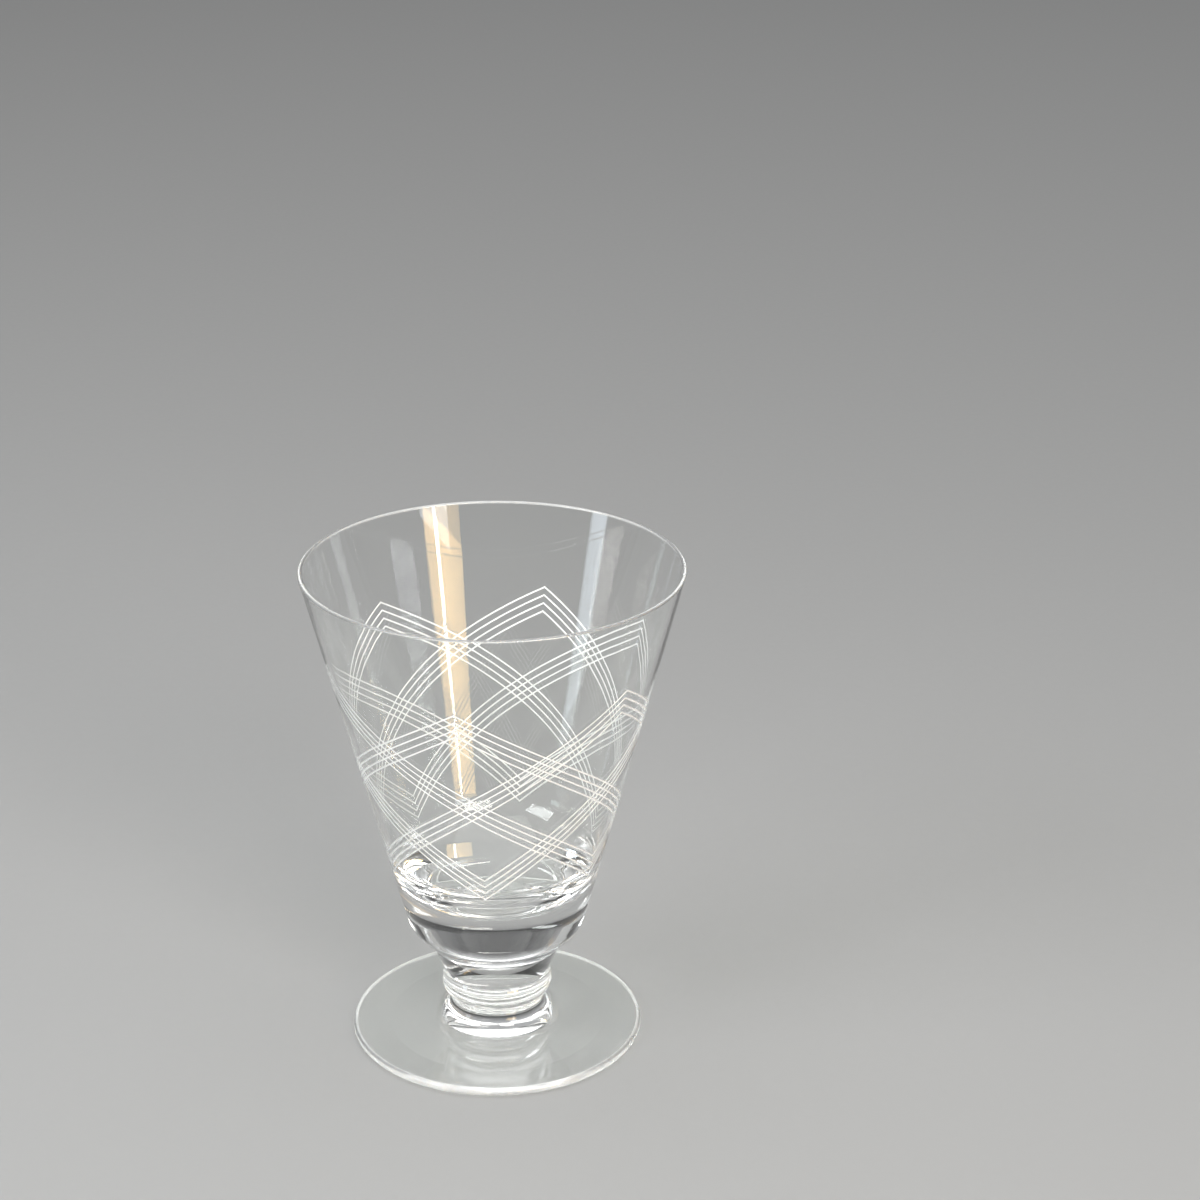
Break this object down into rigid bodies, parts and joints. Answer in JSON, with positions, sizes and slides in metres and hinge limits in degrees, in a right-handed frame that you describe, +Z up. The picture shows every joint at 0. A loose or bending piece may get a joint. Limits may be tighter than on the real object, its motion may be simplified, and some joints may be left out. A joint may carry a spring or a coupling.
{
  "type": "footed tumbler",
  "caption": "Footed clear glass tumbler: thin conical bowl engraved with crossing fine lines, heavy solid bottom, short stem, collar ring and a disc foot.",
  "frame": {"origin": "middle of the plane that the foot stands on", "axes": "+Z up along the axis of the glass; +X and +Y are any two directions square to it"},
  "size_m": [0.0894, 0.0894, 0.12],
  "materials": {
    "engraved_glass": "clear polished glass with fine frosted lines cut in its outer surface",
    "clear_glass": "clear polished glass"
  },
  "bodies": {
    "root": {"bowl": "engraved_glass", "stem": "clear_glass", "collar": "clear_glass", "foot": "clear_glass"}
  },
  "joints": []
}
